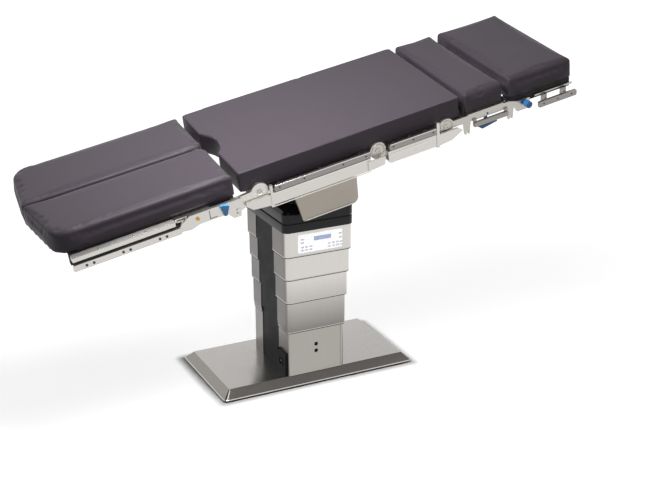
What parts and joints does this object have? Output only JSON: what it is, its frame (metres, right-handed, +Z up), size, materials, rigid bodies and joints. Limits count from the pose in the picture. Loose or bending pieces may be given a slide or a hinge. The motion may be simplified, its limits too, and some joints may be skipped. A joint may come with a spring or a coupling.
{
  "type": "operating table",
  "caption": "Operating table with a telescopic column on a flat base, a two-axis tilting hub and a padded top in jointed leg, seat, back and head sections.",
  "frame": {"origin": "on the floor, at the centre of the base plate", "axes": "+X along the table top towards the head end, +Y across it away from the keypad side, +Z up"},
  "size_m": [2.1619, 0.604, 1.3327],
  "materials": {
    "satin_steel": "satin, finely brushed stainless steel",
    "aluminium": "clear anodised aluminium, satin",
    "casting": "painted dark grey casting",
    "black_frame": "black powder coat, fine grain",
    "black_plastic": "black moulded plastic, satin",
    "rubber": "black rubber, matt",
    "keypad_membrane": "pale membrane keypad, unprinted",
    "pad_cover": "dark grey-brown conductive upholstery, welded seams, satin",
    "blue_plastic": "blue moulded plastic",
    "gold_button": "gold anodised button"
  },
  "bodies": {
    "base": {"base_cover": "satin_steel", "base_rubber_mat": "rubber", "base_core": "casting", "foot_covers": "satin_steel", "foot_side_panels": "black_plastic", "inlet_housing": "black_plastic", "outer_guide_tube": "aluminium", "lift_motor": "black_plastic"},
    "low_stage": {"low_stage_covers": "satin_steel", "low_stage_side_panels": "black_plastic"},
    "middle_stage": {"middle_stage_covers": "satin_steel", "middle_stage_side_panels": "black_plastic", "middle_guide_tube": "aluminium", "lift_spindle": "satin_steel"},
    "upper_stage": {"upper_stage_covers": "satin_steel", "upper_stage_side_panels": "black_plastic"},
    "column_head": {"top_stage_covers": "satin_steel", "top_stage_side_panels": "black_plastic", "keypad": "keypad_membrane", "inner_guide_tube": "aluminium", "column_collar": "black_plastic", "bearing_casting": "casting", "tilt_drive": "aluminium", "tilt_bellows": "rubber"},
    "cross": {"tilt_cross": "casting"},
    "seat": {"hub_casting": "casting", "hub_covers": "satin_steel", "seat_deck": "black_frame", "seat_beams": "aluminium", "seat_rails": "satin_steel", "seat_pad": "pad_cover", "pad_flex_zone": "pad_cover"},
    "lower_back": {"back_deck": "black_frame", "back_beams": "aluminium", "back_rails": "satin_steel", "back_hinge_discs": "satin_steel", "back_pad": "pad_cover"},
    "upper_back": {"upper_back_frame": "black_frame", "upper_short_rails": "aluminium", "upper_back_pad": "pad_cover"},
    "release": {"release_bar": "blue_plastic"},
    "head": {"head_frame": "black_frame", "head_rails": "satin_steel", "head_pad": "pad_cover"},
    "knob_left": {"head_knob_left": "blue_plastic"},
    "knob_right": {"head_knob_right": "blue_plastic"},
    "leg_left": {"leg_arm_left": "satin_steel", "leg_bracket_left": "satin_steel", "leg_frame_left": "black_frame", "leg_rail_left": "satin_steel", "leg_pad_left": "pad_cover"},
    "lever_left": {"leg_lever_left": "blue_plastic"},
    "button_left": {"leg_button_left": "gold_button"},
    "leg_right": {"leg_arm_right": "satin_steel", "leg_bracket_right": "satin_steel", "leg_frame_right": "black_frame", "leg_rail_right": "satin_steel", "leg_pad_right": "pad_cover"},
    "lever_right": {"leg_lever_right": "blue_plastic"},
    "button_right": {"leg_button_right": "gold_button"}
  },
  "joints": [
    {"name": "lift", "type": "slide", "parent": "base", "child": "column_head", "axis": [0, 0, 1], "range_m": [-0.32, 0.12]},
    {"name": "low_stage_rise", "type": "slide", "parent": "base", "child": "low_stage", "axis": [0, 0, 1], "range_m": [-0.08, 0.03]},
    {"name": "middle_stage_rise", "type": "slide", "parent": "base", "child": "middle_stage", "axis": [0, 0, 1], "range_m": [-0.16, 0.06]},
    {"name": "upper_stage_rise", "type": "slide", "parent": "base", "child": "upper_stage", "axis": [0, 0, 1], "range_m": [-0.24, 0.09]},
    {"name": "trend_tilt", "type": "hinge", "parent": "column_head", "child": "cross", "pos_m": [-0.012, -0.046, 0.811], "axis": [0, 1, 0], "range_deg": [-13.8, 36.2]},
    {"name": "side_tilt", "type": "hinge", "parent": "cross", "child": "seat", "pos_m": [-0.012, -0.046, 0.811], "axis": [0.981, 0, 0.1939], "range_deg": [-26.1, 8.9]},
    {"name": "lower_back_hinge", "type": "hinge", "parent": "seat", "child": "lower_back", "pos_m": [0.16367, -0.07981, 1.02074], "axis": [0.0375, -0.9812, -0.1895], "range_deg": [-40, 60], "deforming": ["pad_flex_zone"]},
    {"name": "upper_back_hinge", "type": "hinge", "parent": "lower_back", "child": "upper_back", "pos_m": [0.45737, -0.07942, 1.07679], "axis": [0.0375, -0.9812, -0.1895], "range_deg": [-40, 10]},
    {"name": "release_turn", "type": "hinge", "parent": "upper_back", "child": "release", "pos_m": [0.64257, -0.07865, 1.10939], "axis": [0.0375, -0.9812, -0.1895], "range_deg": [0, 14], "stiffness_Nm_per_rad": 1.5},
    {"name": "head_hinge", "type": "hinge", "parent": "upper_back", "child": "head", "pos_m": [0.81713, -0.07672, 1.13389], "axis": [0.0375, -0.9812, -0.1895], "range_deg": [-45, 15]},
    {"name": "knob_left_turn", "type": "hinge", "parent": "upper_back", "child": "knob_left", "pos_m": [0.82795, -0.36028, 1.07912], "axis": [0.0375, -0.9812, -0.1895], "range_deg": [-90, 90]},
    {"name": "knob_right_turn", "type": "hinge", "parent": "upper_back", "child": "knob_right", "pos_m": [0.8063, 0.20683, 1.18867], "axis": [-0.0375, 0.9812, 0.1895], "range_deg": [-90, 90]},
    {"name": "leg_left_hinge", "type": "hinge", "parent": "seat", "child": "leg_left", "pos_m": [-0.31093, -0.20912, 0.90514], "axis": [0.0375, -0.9812, -0.1895], "range_deg": [-10, 80]},
    {"name": "lever_left_turn", "type": "hinge", "parent": "leg_left", "child": "lever_left", "pos_m": [-0.44983, -0.36884, 0.84979], "axis": [0.0375, -0.9812, -0.1895], "range_deg": [0, 25], "stiffness_Nm_per_rad": 0.5},
    {"name": "button_left_press", "type": "slide", "parent": "leg_left", "child": "button_left", "axis": [-0.0375, 0.9812, 0.1895], "range_m": [0, 0.003], "stiffness_N_per_m": 800, "springref_m": -0.001},
    {"name": "leg_right_hinge", "type": "hinge", "parent": "seat", "child": "leg_right", "pos_m": [-0.32074, 0.04795, 0.9548], "axis": [0.0375, -0.9812, -0.1895], "range_deg": [-10, 80]},
    {"name": "lever_right_turn", "type": "hinge", "parent": "leg_right", "child": "lever_right", "pos_m": [-0.47178, 0.20612, 0.96086], "axis": [0.0375, -0.9812, -0.1895], "range_deg": [0, 25], "stiffness_Nm_per_rad": 0.5},
    {"name": "button_right_press", "type": "slide", "parent": "leg_right", "child": "button_right", "axis": [0.0375, -0.9812, -0.1895], "range_m": [0, 0.003], "stiffness_N_per_m": 800, "springref_m": -0.001}
  ],
  "couplings": [
    {"joint": "low_stage_rise", "follows": "lift", "ratio": 0.25},
    {"joint": "middle_stage_rise", "follows": "lift", "ratio": 0.5},
    {"joint": "upper_stage_rise", "follows": "lift", "ratio": 0.75}
  ]
}
